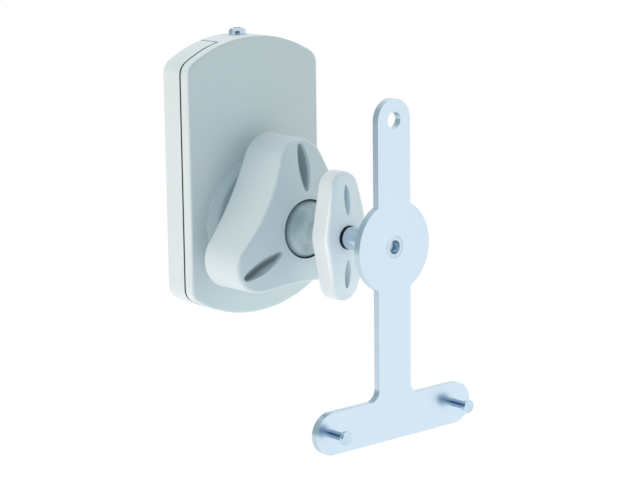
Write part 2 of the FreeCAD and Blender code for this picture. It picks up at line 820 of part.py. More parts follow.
def make_four(label, make_one):
    """Four like pieces at the corners of a square about the socket's axis, as one group of solids."""
    group = doc.addObject("Part::Compound", label)
    group.Label = label
    one = label[:-1]
    group.Links = [make_one(f"{one}_{number}", *place) for number, place in enumerate(SCREW_PLACES, 1)]
    parts.append(group)
    doc.recompute()


def make_seat_pad():
    """A rubber ring with a dished front that the liner beds on."""
    body = new_body("seat_pad")
    turned_profile(
        body,
        "ring",
        [
            ("pad_floor", "pad_bore"),
            ("pad_floor", "pad_radius"),
            ("collar_end", "pad_radius"),
            ("collar_end", "pad_bore"),
        ],
    )
    hollow_sphere(body, "dish", "socket_radius")


def make_ball_liner():
    """A nylon cup of even thickness round the back of the ball."""
    body = new_body("ball_liner")
    inner = value("ball_radius + seat_gap")
    outer = value("ball_radius + seat_gap + liner_thickness")
    reach = math.radians(value("liner_reach"))
    centre = (-value("ball_depth"), 0)
    sketch = new_sketch(body, "cup_profile", "YZ_Plane")
    wide = draw_arc(sketch, centre, outer, 0, reach)
    narrow = draw_arc(sketch, centre, inner, 0, reach)
    tip = (math.cos(reach), math.sin(reach))
    rim = draw_line(
        sketch,
        (centre[0] + outer * tip[0], outer * tip[1]),
        (centre[0] + inner * tip[0], inner * tip[1]),
    )
    floor = draw_line(sketch, (centre[0] + inner, 0), (centre[0] + outer, 0))
    join_ends(sketch, [(wide, 1, 2), (rim, 1, 2), (narrow, 2, 1), (floor, 1, 2)])
    sketch.addConstraint(Sketcher.Constraint("Coincident", wide, 3, narrow, 3))
    fix_point(sketch, wide, 3, "-ball_depth", "0")
    fix(sketch, "Radius", (wide,), "ball_radius + seat_gap + liner_thickness")
    fix(sketch, "Radius", (narrow,), "ball_radius + seat_gap")
    sketch.addConstraint(Sketcher.Constraint("Horizontal", floor))
    sketch.addConstraint(Sketcher.Constraint("PointOnObject", floor, 1, -1))
    fix(sketch, "DistanceY", (-1, 1, rim, 1), "(ball_radius + seat_gap + liner_thickness) * sin(liner_reach)")
    fix(sketch, "DistanceY", (-1, 1, rim, 2), "(ball_radius + seat_gap) * sin(liner_reach)")
    turned(body, sketch, "cup")


def make_slip_ring():
    """A nylon ring between the knob's lip and the front of the ball."""
    body = new_body("slip_ring")
    turned_profile(
        body,
        "ring",
        [
            ("ring_back", "opening_radius"),
            ("ring_back", "ring_radius"),
            ("ring_front", "ring_radius"),
            ("ring_front", "opening_radius"),
        ],
    )
    hollow_sphere(body, "ball_room", "ball_radius + mouth_gap")


def draw_lobes(sketch):
    """Three round lobes joined by long shallow hollows, all tangent."""
    lobe = value("lobe_radius")
    side = value("side_radius")
    reach = value("lobe_centre")
    apart = reach * math.sqrt(3) / 2
    middle = reach / 2
    far = middle + math.sqrt((side + lobe) ** 2 - apart ** 2)
    chain = []
    lobes = []
    hollows = []
    for index in range(3):
        out = math.radians(90 + 120 * index)
        lobe_at = (reach * math.cos(out), reach * math.sin(out))
        before = out - math.radians(60)
        after = out + math.radians(60)
        hollow_before = (far * math.cos(before), far * math.sin(before))
        hollow_after = (far * math.cos(after), far * math.sin(after))
        start = math.atan2(hollow_before[1] - lobe_at[1], hollow_before[0] - lobe_at[0])
        end = math.atan2(hollow_after[1] - lobe_at[1], hollow_after[0] - lobe_at[0])
        round_end = draw_arc(sketch, lobe_at, lobe, start, end if end > start else end + 2 * math.pi)
        following = math.radians(90 + 120 * (index + 1))
        next_lobe = (reach * math.cos(following), reach * math.sin(following))
        low = math.atan2(next_lobe[1] - hollow_after[1], next_lobe[0] - hollow_after[0])
        high = math.atan2(lobe_at[1] - hollow_after[1], lobe_at[0] - hollow_after[0])
        hollow = draw_arc(sketch, hollow_after, side, low, high if high > low else high + 2 * math.pi)
        lobes.append(round_end)
        hollows.append(hollow)
        chain += [(round_end, 1, 2), (hollow, 2, 1)]
    join_ends(sketch, chain, "Tangent")
    places = (
        ("0", "lobe_centre"),
        ("-lobe_centre * sqrt(3) / 2", "-lobe_centre / 2"),
        ("lobe_centre * sqrt(3) / 2", "-lobe_centre / 2"),
    )
    for piece, place in zip(lobes, places):
        fix_point(sketch, piece, 3, *place)
        fix(sketch, "Radius", (piece,), "lobe_radius")
    for piece in hollows:
        fix(sketch, "Radius", (piece,), "side_radius")


def crown_face(body, name, face, flat, reach, drop, curve):
    """Cut away all that lies in front of a face that is flat near the axis and falls off in a gentle arc."""
    start = (value(flat), -value(face))
    end = (value(reach), -value(f"{face} - {drop}"))
    radius = value(curve)
    chord = math.hypot(end[0] - start[0], end[1] - start[1])
    middle = ((start[0] + end[0]) / 2, (start[1] + end[1]) / 2)
    across = (-(end[1] - start[1]) / chord, (end[0] - start[0]) / chord)
    offset = math.sqrt(radius ** 2 - chord ** 2 / 4)
    centre = (middle[0] + offset * across[0], middle[1] + offset * across[1])
    start_angle = math.atan2(start[1] - centre[1], start[0] - centre[0])
    end_angle = math.atan2(end[1] - centre[1], end[0] - centre[0])
    front = -value(f"{face} + overcut")
    sketch = new_sketch(body, name + "_profile", "XY_Plane")
    arc = draw_arc(sketch, centre, radius, start_angle, end_angle)
    outer = draw_line(sketch, end, (end[0], front))
    top = draw_line(sketch, (end[0], front), (start[0], front))
    inner = draw_line(sketch, (start[0], front), start)
    join_ends(sketch, [(arc, 1, 2), (outer, 1, 2), (top, 1, 2), (inner, 1, 2)])
    fix_point(sketch, arc, 1, flat, f"-({face})")
    fix_point(sketch, arc, 2, reach, f"-({face} - {drop})")
    fix(sketch, "Radius", (arc,), curve)
    fix_point(sketch, outer, 2, reach, f"-({face} + overcut)")
    fix_point(sketch, top, 2, flat, f"-({face} + overcut)")
    turned(body, sketch, name, "PartDesign::Groove", "V_Axis")


def cut_scoop(body, name, face, size):
    """A finger scoop in a lobe that points up: a groove with round ends and full sides along the face."""
    sketch = new_sketch(body, name + "_profile", "YZ_Plane")
    sketch.setExpression("AttachmentOffset.Base.x", linked(f"{size}_sink - {face}"))
    sketch.setExpression("AttachmentOffset.Base.y", linked(f"{size}_inner"))
    tilt = value(f"{size}_tilt")
    sketch.AttachmentOffset.Rotation = FreeCAD.Rotation(FreeCAD.Vector(0, 0, 1), 90 - tilt)
    sketch.setExpression("AttachmentOffset.Rotation.Angle", linked(f"90 - {size}_tilt"))
    length = value(f"{size}_outer - {size}_inner")
    near = value(f"{size}_inner_radius")
    far = value(f"{size}_outer_radius")
    side = value(f"{size}_side_radius")
    apart = length - near - far
    along = ((side - near) ** 2 - (side - far) ** 2 + apart ** 2) / (2 * apart)
    below = math.sqrt((side - near) ** 2 - along ** 2)
    near_lean = math.atan2(below, -along)
    far_lean = math.atan2(below, apart - along)
    near_end = draw_arc(sketch, (near, 0), near, near_lean, math.pi)
    chord = draw_line(sketch, (0, 0), (length, 0))
    far_end = draw_arc(sketch, (length - far, 0), far, 0, far_lean)
    full_side = draw_arc(sketch, (near + along, -below), side, far_lean, near_lean)
    sketch.addConstraint(Sketcher.Constraint("Coincident", near_end, 2, chord, 1))
    sketch.addConstraint(Sketcher.Constraint("Coincident", chord, 2, far_end, 1))
    sketch.addConstraint(Sketcher.Constraint("Tangent", far_end, 2, full_side, 1))
    sketch.addConstraint(Sketcher.Constraint("Tangent", full_side, 2, near_end, 1))
    fix_point(sketch, near_end, 3, f"{size}_inner_radius", "0")
    fix_point(sketch, far_end, 3, f"{size}_outer - {size}_inner - {size}_outer_radius", "0")
    for piece, radius in ((near_end, "inner_radius"), (far_end, "outer_radius"), (full_side, "side_radius")):
        fix(sketch, "Radius", (piece,), f"{size}_{radius}")
    sketch.addConstraint(Sketcher.Constraint("PointOnObject", chord, 1, -1))
    sketch.addConstraint(Sketcher.Constraint("PointOnObject", chord, 2, -1))
    return turned(body, sketch, name, "PartDesign::Groove")


def make_clamp_knob():
    """The three-lobed knob: lobed block, crowned face, scoops, and the bore over the collar."""
    body = new_body("clamp_knob")
    outline = new_sketch(body, "lobe_outline", depth="knob_back")
    draw_lobes(outline)
    pad(body, outline, "block", "knob_face - knob_back", taper="knob_draft")
    crown_face(body, "crown", "knob_face", "face_flat", "face_reach", "face_drop", "face_curve")
    lowest = value("knob_face - face_drop - overcut")
    inside = value("knob_bore + overcut")
    rim = edges_where(body, lambda edge: is_crown_rim(edge, lowest, inside))
    dress(body, "rim_round", "Fillet", "knob_round", rim)
    back = edges_where(body, lambda edge: at_depth(edge, value("knob_back")))
    dress(body, "back_round", "Fillet", "knob_back_round", back)
    turned_profile(
        body,
        "collar_bore",
        [
            ("knob_back", "0"),
            ("knob_back", "knob_bore"),
            ("collar_end + seat_gap", "knob_bore"),
            ("ring_back", "ring_radius + rivet_gap"),
            ("ring_front", "ring_radius + rivet_gap"),
            ("ring_front", "0"),
        ],
        "PartDesign::Groove",
    )
    mouth = new_sketch(body, "mouth_circle", depth="knob_face")
    draw_circle(mouth, "opening_radius")
    pocket(body, mouth, "mouth", "knob_face - ring_front")
    hollow_sphere(body, "ball_room", "ball_radius + mouth_gap")
    scoop = cut_scoop(body, "scoop", "knob_face", "scoop")
    repeat_round(body, [scoop], "scoops", 3)


def is_crown_rim(edge, lowest, inside):
    """True for the edges round a crowned face: all in front of one depth and away from the axis."""
    middle = edge.valueAt((edge.FirstParameter + edge.LastParameter) / 2)
    return -edge.BoundBox.YMax > lowest and math.hypot(middle.x, middle.z) > inside


def draw_wings(sketch):
    """Two round tips and a round waist joined by tangent straight sides."""
    tip = value("wing_tip_radius")
    waist = value("wing_waist_radius")
    reach = value("wing_tip_centre")
    lean = math.asin((waist - tip) / reach)
    upper = draw_arc(sketch, (0, reach), tip, lean, math.pi - lean)
    lower = draw_arc(sketch, (0, -reach), tip, math.pi + lean, 2 * math.pi - lean)
    left = draw_arc(sketch, (0, 0), waist, math.pi - lean, math.pi + lean)
    right = draw_arc(sketch, (0, 0), waist, -lean, lean)

    def edge(across, up):
        near = (across * waist * math.cos(lean), up * waist * math.sin(lean))
        away = (across * tip * math.cos(lean), up * (reach + tip * math.sin(lean)))
        return near, away

    near, away = edge(-1, 1)
    upper_left = draw_line(sketch, away, near)
    near, away = edge(-1, -1)
    lower_left = draw_line(sketch, near, away)
    near, away = edge(1, -1)
    lower_right = draw_line(sketch, away, near)
    near, away = edge(1, 1)
    upper_right = draw_line(sketch, near, away)
    around = [upper, upper_left, left, lower_left, lower, lower_right, right, upper_right]
    join_ends(sketch, [(piece, 1, 2) for piece in around], "Tangent")
    fix_point(sketch, upper, 3, "0", "wing_tip_centre")
    fix_point(sketch, lower, 3, "0", "-wing_tip_centre")
    for piece in (upper, lower):
        fix(sketch, "Radius", (piece,), "wing_tip_radius")
    for piece in (left, right):
        fix_point(sketch, piece, 3, "0", "0")
        fix(sketch, "Radius", (piece,), "wing_waist_radius")


def make_wing_knob():
    """The two-winged knob, bored for its insert, with a cone that squeezes the stem's jaws."""
    body = new_body("wing_knob")
    outline = new_sketch(body, "wing_outline", depth="wing_back")
    draw_wings(outline)
    pad(body, outline, "block", "wing_face - wing_back")
    crown_face(body, "crown", "wing_face", "wing_flat", "wing_reach", "wing_drop", "wing_curve")
    lowest = value("wing_face - wing_drop - overcut")
    inside = value("wing_waist_radius - overcut")
    rim = edges_where(body, lambda edge: is_crown_rim(edge, lowest, inside))
    dress(body, "rim_round", "Fillet", "wing_round", rim)
    back = edges_where(body, lambda edge: at_depth(edge, value("wing_back")))
    dress(body, "back_round", "Fillet", "wing_back_round", back)
    cone_end = "insert_front + cone_length"
    turned_profile(
        body,
        "insert_room",
        [
            ("wing_back", "0"),
            ("wing_back", "insert_radius + rivet_gap"),
            ("insert_front", "insert_radius + rivet_gap"),
            ("insert_front", "insert_bore"),
            (cone_end, "wing_hole_radius"),
            ("wing_face", "wing_hole_radius"),
            ("wing_face", "0"),
        ],
        "PartDesign::Groove",
    )
    scoop = cut_scoop(body, "scoop", "wing_face", "wing_scoop")
    repeat_round(body, [scoop], "scoops", 2)


def make_wing_insert():
    """A brass threaded ring with a grip groove, moulded into the wing knob."""
    body = new_body("wing_insert")
    back = "wing_back + insert_setback"
    middle = f"({back} + insert_front) / 2"
    turned_profile(
        body,
        "ring",
        [
            (back, "insert_bore"),
            (back, "insert_radius"),
            (f"{middle} - insert_groove", "insert_radius"),
            (f"{middle} - insert_groove", "insert_radius - insert_groove"),
            (f"{middle} + insert_groove", "insert_radius - insert_groove"),
            (f"{middle} + insert_groove", "insert_radius"),
            ("insert_front", "insert_radius"),
            ("insert_front", "insert_bore"),
        ],
    )


def make_ball_stem():
    """Ball, neck and slotted threaded end in one casting, bored for the bush."""
    body = new_body("ball_stem")
    ball = body.newObject("PartDesign::AdditiveSphere", "ball")
    ball.setExpression("Radius", linked("ball_radius"))
    ball.setExpression("Placement.Base.y", linked("-ball_depth"))
    doc.recompute()
    turned_profile(
        body,
        "stem",
        [
            ("ball_depth", "0"),
            ("ball_depth", "neck_radius"),
            ("thread_start - thread_lead", "neck_radius"),
            ("thread_start", "stem_thread_radius"),
            ("thread_end", "stem_thread_radius"),
            ("thread_end + nose_length", "nose_radius"),
            ("thread_end + nose_length", "0"),
        ],
    )
    root = edges_where(body, is_neck_root)
    dress(body, "neck_root", "Fillet", "neck_fillet", root)
    bore = new_sketch(body, "bore_circle", depth="stem_bore_start")
    draw_circle(bore, "stem_bore")
    pocket(body, bore, "bore", "thread_end + nose_length - stem_bore_start", outward=True)
    slot = new_sketch(body, "slot_box", depth="collet_root")
    draw_box(slot, "-collet_slot / 2", "collet_slot / 2", "0", "stem_thread_radius + overcut")
    cut = pocket(body, slot, "slot", "thread_end + nose_length - collet_root", outward=True)
    repeat_round(body, [cut], "slots", 4)


def is_neck_root(edge):
    """True for the circle where the neck leaves the ball."""
    box = edge.BoundBox
    flat = box.YLength < NEAR
    round_neck = abs(box.ZMax - value("neck_radius")) < NEAR
    return flat and round_neck and -box.YMax < value("ball_depth + ball_radius")


def make_pin_bush():
    """A black sleeve that lines the stem and stands a little proud of the wing knob."""
    body = new_body("pin_bush")
    turned_profile(
        body,
        "sleeve",
        [
            ("bush_back", "bush_bore"),
            ("bush_back", "bush_radius"),
            ("bush_front", "bush_radius"),
            ("bush_front", "bush_bore"),
        ],
    )


def make_pivot_pin():
    """A stepped pin: a grooved spigot in the bush, a thick shank and a riveted end flush with the sheet."""
    body = new_body("pivot_pin")
    turned_profile(
        body,
        "pin",
        [
            ("pin_back", "0"),
            ("pin_back", "spigot_radius - pin_bevel"),
            ("pin_back + pin_bevel", "spigot_radius"),
            ("clip_front - clip_thickness - clip_slack", "spigot_radius"),
            ("clip_front - clip_thickness - clip_slack", "clip_groove"),
            ("clip_front + clip_slack", "clip_groove"),
            ("clip_front + clip_slack", "spigot_radius"),
            ("shoulder_depth", "spigot_radius"),
            ("shoulder_depth", "pin_radius - pin_bevel"),
            ("shoulder_depth + pin_bevel", "pin_radius"),
            ("sheet_back", "pin_radius"),
            ("sheet_back", "pin_seat_radius"),
            ("sheet_front - pin_rim_bevel", "pin_seat_radius"),
            ("sheet_front", "pin_seat_radius - pin_rim_bevel"),
            ("sheet_front", "pin_end_bore"),
            ("sheet_front - pin_end_bore_depth", "pin_end_bore"),
            ("sheet_front - pin_end_bore_depth - pin_bore_point", "0"),
        ],
    )


def make_pin_circlip():
    """An open ring in the pin's groove, behind the bush."""
    body = new_body("pin_circlip")
    ring = new_sketch(body, "clip_ring", depth="clip_front - clip_thickness")
    draw_circle(ring, "clip_radius")
    draw_circle(ring, "clip_groove + rivet_gap")
    pad(body, ring, "ring", "clip_thickness")
    mouth = new_sketch(body, "clip_mouth_box", depth="clip_front")
    draw_box(mouth, "-clip_mouth / 2", "clip_mouth / 2", "-clip_radius - overcut", "0")
    pocket(body, mouth, "mouth", "clip_thickness")


def make_adapter_plate():
    """One sheet: a disc, a strap with a round end and a cross bar with round ends."""
    body = new_body("adapter_plate")
    disc = new_sketch(body, "disc_circle", depth="sheet_back")
    draw_circle(disc, "disc_radius")
    pad(body, disc, "disc", "sheet_thickness")
    half = "strap_width / 2"
    strap = new_sketch(body, "strap_box", depth="sheet_back")
    draw_box(strap, f"-{half}", half, "-bar_drop", f"strap_top - {half}")
    pad(body, strap, "strap", "sheet_thickness")
    end = new_sketch(body, "strap_end_circle", depth="sheet_back")
    draw_circle(end, half, "0", f"strap_top - {half}")
    pad(body, end, "strap_end", "sheet_thickness")
    bar = new_sketch(body, "bar_box", depth="sheet_back")
    draw_box(bar, "-peg_offset", "peg_offset", "-bar_drop - bar_height / 2", "-bar_drop + bar_height / 2")
    pad(body, bar, "bar", "sheet_thickness")
    tips = new_sketch(body, "bar_end_circles", depth="sheet_back")
    for side in ("-", ""):
        draw_circle(tips, "bar_height / 2", f"{side}peg_offset", "-bar_drop")
    pad(body, tips, "bar_ends", "sheet_thickness")
    inner = edges_where(body, is_strap_foot)
    dress(body, "strap_feet", "Fillet", "inner_round", inner)
    holes = new_sketch(body, "sheet_holes", depth="sheet_front")
    draw_circle(holes, "speaker_hole_radius", "0", "speaker_hole_height")
    draw_circle(holes, "pin_seat_radius + rivet_gap")
    for side in ("-", ""):
        draw_circle(holes, "peg_radius + rivet_gap", f"{side}peg_offset", "-bar_drop")
    pocket(body, holes, "holes", "sheet_thickness")


def is_strap_foot(edge):
    """True for the two upright corners where the strap runs into the cross bar."""
    box = edge.BoundBox
    through = abs(box.YLength - value("sheet_thickness")) < NEAR
    beside = abs(abs(box.Center.x) - value("strap_width / 2")) < NEAR
    level = abs(box.Center.z - value("bar_height / 2 - bar_drop")) < NEAR
    return through and beside and level


def make_peg(label, side):
    """A headed peg riveted through the bar, on the side given by its sign."""
    body = new_body(label)
    body.setExpression("Placement.Base.x", linked(f"{side}peg_offset"))
    body.setExpression("Placement.Base.z", linked("-axis_drop - bar_drop"))
    tip = "sheet_front + peg_length"
    turned_profile(
        body,
        "peg",
        [
            ("sheet_back", "0"),
            ("sheet_back", "peg_radius"),
            (f"{tip} - peg_head_thickness", "peg_radius"),
            (f"{tip} - peg_head_thickness", "peg_head_radius"),
            (f"{tip} - peg_head_bevel", "peg_head_radius"),
            (tip, "peg_head_radius - peg_head_bevel"),
            (tip, "0"),
        ],
    )


def check_document():
    """Stop if any object failed or any piece has no sound shape."""
    for item in doc.Objects:
        if "Invalid" in item.State or "Error" in item.State:
            raise RuntimeError(f"{item.Label}: {item.State}")
    for part in parts:
        if part.Shape.isNull() or not part.Shape.isValid():
            raise RuntimeError(f"{part.Label} has no valid shape")


def write_parts():
    os.makedirs("parts", exist_ok=True)
    for part in parts:
        part.Shape.exportStep(f"parts/{part.Label}.step")
        print(part.Label, len(part.Shape.Solids), round(part.Shape.Volume, 1))


fill_sheet()
make_wall_plate()
make_front_cover()
make_lock_screw()
make_lock_nut()
make_socket_flange()
make_four("flange_screws", make_flange_screw)
make_four("flange_washers", make_flange_washer)
make_seat_pad()
make_ball_liner()
make_slip_ring()
make_clamp_knob()
make_ball_stem()
make_pin_bush()
make_wing_knob()
make_wing_insert()
make_pivot_pin()
make_pin_circlip()
make_adapter_plate()
make_peg("peg_left", "-")
make_peg("peg_right", "")
doc.recompute()
check_document()
write_parts()
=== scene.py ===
import math

import bmesh
import bpy
from mathutils import Matrix, Vector


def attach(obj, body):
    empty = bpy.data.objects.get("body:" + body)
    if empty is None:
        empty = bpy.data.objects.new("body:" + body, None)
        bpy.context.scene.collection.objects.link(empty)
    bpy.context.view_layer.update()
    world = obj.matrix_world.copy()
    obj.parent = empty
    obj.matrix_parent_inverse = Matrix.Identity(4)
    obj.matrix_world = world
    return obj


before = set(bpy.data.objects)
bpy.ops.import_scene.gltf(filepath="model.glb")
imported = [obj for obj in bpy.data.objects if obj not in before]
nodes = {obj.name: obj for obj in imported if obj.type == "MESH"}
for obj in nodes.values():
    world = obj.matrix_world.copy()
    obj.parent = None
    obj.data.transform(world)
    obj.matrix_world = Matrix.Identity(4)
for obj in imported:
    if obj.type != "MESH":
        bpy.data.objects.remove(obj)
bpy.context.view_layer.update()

# Everything is in metres in the CAD's frame: X to the right, Z up, the wall at Y = 0 and the room at -Y.
# Sizes in the dictionaries are in mm and turns in degrees, unless a note says otherwise.
mm = 0.001
axisHeight = -17.9  # of the ball joint's axis above the wall plate's middle
print("frame loaded:", len(nodes), "CAD nodes")


# One output socket of a node tree, so that shader maths can be written as an expression
class Wave:
    def __init__(self, tree, socket):
        self.tree = tree
        self.socket = socket

    def maths(self, operation, first, second=0.0):
        return self.tree.node("ShaderNodeMath", {"operation": operation}, {0: first, 1: second})

    def __add__(self, other):
        return self.maths("ADD", self, other)

    def __radd__(self, other):
        return self.maths("ADD", other, self)

    def __sub__(self, other):
        return self.maths("SUBTRACT", self, other)

    def __rsub__(self, other):
        return self.maths("SUBTRACT", other, self)

    def __mul__(self, other):
        return self.maths("MULTIPLY", self, other)

    def __rmul__(self, other):
        return self.maths("MULTIPLY", other, self)

    def __truediv__(self, other):
        return self.maths("DIVIDE", self, other)

    def __rtruediv__(self, other):
        return self.maths("DIVIDE", other, self)

    def __neg__(self):
        return self.maths("MULTIPLY", self, -1.0)

    def most(self, other):
        return self.maths("MAXIMUM", self, other)

    def root(self):
        return self.maths("SQRT", self)

    def size(self):
        return self.maths("ABSOLUTE", self)


class NodeTree:
    def __init__(self, tree):
        self.nodes = tree.nodes
        self.links = tree.links

    # settings go in first, then the values or links of the sockets
    def node(self, kind, settings=None, values=None, out=0):
        made = self.nodes.new(kind)
        for name, value in (settings or {}).items():
            setattr(made, name, value)
        for socket, value in (values or {}).items():
            if isinstance(value, Wave):
                self.links.new(value.socket, made.inputs[socket])
            else:
                made.inputs[socket].default_value = value
        return Wave(self, made.outputs[out])

    # the node that a new tree starts with
    def first(self, kind):
        return next(node for node in self.nodes if node.type == kind)

    def place(self):
        return self.node("ShaderNodeTexCoord", out="Object")

    def ray(self, kind):
        return self.node("ShaderNodeLightPath", out=kind)

    def axes(self, vector):
        split = self.node("ShaderNodeSeparateXYZ", {}, {0: vector})
        return [Wave(self, output) for output in split.socket.node.outputs]

    def noise(self, scale, detail, roughness=0.5, vector=None):
        values = {"Vector": vector or self.place(), "Scale": scale, "Detail": detail, "Roughness": roughness}
        return self.node("ShaderNodeTexNoise", {}, values)

    def stretched(self, scale):
        return self.node("ShaderNodeMapping", {}, {"Vector": self.place(), "Scale": scale})

    # 6, 7 and the output 2 are the colour sockets of a Mix node
    def mix(self, factor, first, second):
        return self.node("ShaderNodeMix", {"data_type": "RGBA"}, {0: factor, 6: first, 7: second}, 2)

    # how squarely a direction points along another, from 1 to -1
    def along(self, vector, direction):
        return self.node("ShaderNodeVectorMath", {"operation": "DOT_PRODUCT"}, {0: vector, 1: direction}, 1)

    # 0 up to the first value, 1 from the second, with a smooth rise between
    def step(self, wave, low, high):
        settings = {"interpolation_type": "SMOOTHSTEP"}
        return self.node("ShaderNodeMapRange", settings, {"Value": wave, "From Min": low, "From Max": high})

    def between(self, wave, low, high, soft):
        return self.step(wave, low - soft, low) * (1.0 - self.step(wave, high, high + soft))


class Finish(NodeTree):
    def __init__(self, name, constants):
        self.material = bpy.data.materials.new(name)
        self.material.use_nodes = True
        super().__init__(self.material.node_tree)
        self.shader = self.first("BSDF_PRINCIPLED")
        for socket, value in constants.items():
            self.shader.inputs[socket].default_value = value

    def feed(self, socket, wave):
        self.links.new(wave.socket, self.shader.inputs[socket])

    def bump(self, height, distance, strength):
        values = {"Height": height, "Distance": distance * mm, "Strength": strength}
        self.feed("Normal", self.node("ShaderNodeBump", {}, values))

    # mm to the right of the wall plate's middle, up from it and out from the wall
    def sides(self):
        x, y, z = self.axes(self.place())
        return x / mm, z / mm, -y / mm

    # mm from the ball joint's axis and out from the wall
    def aroundAxis(self):
        right, up, out = self.sides()
        up = up - axisHeight
        return (right * right + up * up).root(), out

    # a mask is 1 where its own tone shows
    def painted(self, colour, masks):
        for mask, look in masks:
            colour = self.mix(mask(self, look), colour, look["colour"])
        return colour


def dress(nodeNames, finish):
    for name in nodeNames:
        data = nodes[name].data
        data.materials.clear()
        data.materials.append(finish.material)


# a colour as a screen shows it, each part from 0 to 255, made linear
def tone(red, green, blue):
    levels = [channel / 255 for channel in (red, green, blue)]
    return tuple(c / 12.92 if c <= 0.04045 else ((c + 0.055) / 1.055) ** 2.4 for c in levels) + (1.0,)


def shaded(colour, share):
    return tuple(channel * share for channel in colour[:3]) + (1.0,)


# Moulded plastics: faint clouding, a fine satin grain and slightly uneven gloss. Here and below, a noise is given by
# its scale, its detail and, where it isn't 0.5, its roughness
plastic = {
    "refraction": 1.46,
    "clouds": (22.0, 3),
    "glossPatches": (90.0, 3),
    "glossSpread": 0.10,
    "satin": (2400.0, 2),
    "satinStrength": 0.4,
}
shellLook = {"colour": tone(228, 235, 235), "clouding": 0.98, "roughness": 0.48, "grain": 0.012}
knobLook = {"colour": tone(222, 231, 234), "clouding": 0.975, "roughness": 0.42, "grain": 0.010}
wingLook = {"colour": tone(231, 236, 239), "clouding": 0.975, "roughness": 0.40, "grain": 0.008}
flangeLook = {"colour": tone(206, 217, 220), "clouding": 0.96, "roughness": 0.45, "grain": 0.010}
# The pin's bush is black nylon, made near black so that it also stands for painted shade in the gap round the pin
bushAndGapShadeLook = {"colour": tone(0, 6, 15), "clouding": 0.7, "roughness": 0.42, "grain": 0.006}
linerLook = {"colour": tone(206, 204, 192), "clouding": 0.93, "roughness": 0.38, "grain": 0.006}
ringLook = {"colour": tone(24, 34, 40), "clouding": 0.8, "roughness": 0.45, "grain": 0.006}
rubberLook = {"colour": tone(28, 28, 29), "clouding": 0.8, "roughness": 0.75, "grain": 0.03}


def mouldedPlastic(name, look, masks=()):
    finish = Finish(name, {"IOR": plastic["refraction"]})
    clouds = finish.noise(*plastic["clouds"])
    clouded = finish.mix(clouds, look["colour"], shaded(look["colour"], look["clouding"]))
    finish.feed("Base Color", finish.painted(clouded, masks))
    uneven = (finish.noise(*plastic["glossPatches"]) - 0.5) * plastic["glossSpread"]
    finish.feed("Roughness", look["roughness"] + uneven)
    finish.bump(finish.noise(*plastic["satin"]), look["grain"], plastic["satinStrength"])
    return finish


# Painted shade: the seam round the base, and the slits beside the tongue that reaches back over the arch, are
# painted dark where shade falls in them
seamShade = {
    "colour": tone(34, 56, 66),
    "back": 10.46,
    "front": 11.32,
    "tongueSide": 14.26,
    "notchSide": 14.68,
    "archFoot": 50.0,
    "archSoft": 1.0,
    "soft": 0.04,
}


def seamShadeMask(finish, look):
    right, up, out = finish.sides()
    across = right.size()
    onArch = finish.step(up, look["archFoot"], look["archFoot"] + look["archSoft"])
    onTongue = onArch * (1.0 - finish.step(across, look["tongueSide"] - look["soft"], look["tongueSide"]))
    allRound = finish.between(out, look["back"], look["front"], look["soft"]) * (1.0 - onTongue)
    slits = finish.between(across, look["tongueSide"], look["notchSide"], look["soft"])
    behindSeam = 1.0 - finish.step(out, look["front"], look["front"] + look["soft"])
    return allRound.most(onArch * slits * behindSeam)


# The finger scoops get a painted shade, as deep and one-sided as the photograph shows them. Each has its turn from
# +X, the side that its painted shade leans to, how strong it is, and the band across the scoop where it is strongest
knobScoopShade = {
    "colour": tone(38, 56, 64),
    "scoops": [
        {"turn": 90, "side": 1, "most": 0.56, "band": (-2.3, -1.0)},
        {"turn": 210, "side": -1, "most": 0.76, "band": (-1.4, -1.0)},
        {"turn": 330, "side": 0, "most": 0.5, "band": (-1.4, -0.5)},
    ],
    "bandSoft": 2.0,
    "least": 0.04,
    "inner": 14.8,
    "outer": 34.5,
    "face": 48.3,  # out from the wall at the scoops' inner ends
    "fall": 0.2126,  # of the face towards its rim
    "halfWidth": 2.7,
    "widthSoft": 0.7,
    "depths": (-0.02, 1.6),
    "deepest": 3.8,
    "soft": 0.3,
}
wingScoopShade = {
    "colour": tone(150, 176, 188),
    "scoops": [
        {"turn": 90, "side": 1, "most": 0.9, "band": (1.0, 9.0)},
        {"turn": 270, "side": -1, "most": 1.0, "band": (1.0, 9.0)},
    ],
    "bandSoft": 2.4,
    "least": 0.2,
    "inner": 8.3,
    "outer": 21.3,
    "face": 72.85,
    "fall": 0.1317,
    "halfWidth": 2.6,
    "widthSoft": 0.3,
    "depths": (-0.05, 0.9),
    "deepest": 2.3,
    "soft": 0.3,
}


def scoopShadeMask(finish, look):
    right, up, out = finish.sides()
    up = up - axisHeight
    total = 0.0
    for scoop in look["scoops"]:
        c, s = math.cos(math.radians(scoop["turn"])), math.sin(math.radians(scoop["turn"]))
        along = right * c + up * s
        across = up * c - right * s
        below = look["face"] - (along - look["inner"]) * look["fall"] - out
        widest = look["halfWidth"] + look["widthSoft"]
        inside = finish.between(along, look["inner"], look["outer"], look["soft"])
        inside = inside * (1.0 - finish.step(across.size(), look["halfWidth"], widest))
        inside = inside * (1.0 - finish.step(below, look["deepest"], look["deepest"] + look["soft"]))
        band = finish.between(across * scoop["side"], *scoop["band"], look["bandSoft"])
        share = look["least"] + (scoop["most"] - look["least"]) * band
        total = finish.step(below, *look["depths"]) * inside * share + total
    return total


# Painted light: the wing knob's front is painted paler than its sides, as if it caught more light
wingFrontLight = {"colour": tone(251, 254, 255), "back": 70.4, "front": 71.9}


def wingFrontLightMask(finish, look):
    right, up, out = finish.sides()
    return finish.step(out, look["back"], look["front"])


# Painted shade: the inside of the clamping knob's mouth, round the ball, is painted dark where shade falls
mouthShade = {"colour": tone(26, 44, 52), "radius": 12.6, "face": 48.45, "soft": 0.15}


def mouthShadeMask(finish, look):
    radius, out = finish.aroundAxis()
    inside = 1.0 - finish.step(radius, look["radius"] - look["soft"], look["radius"])
    return inside * (1.0 - finish.step(out, look["face"] - look["soft"], look["face"]))


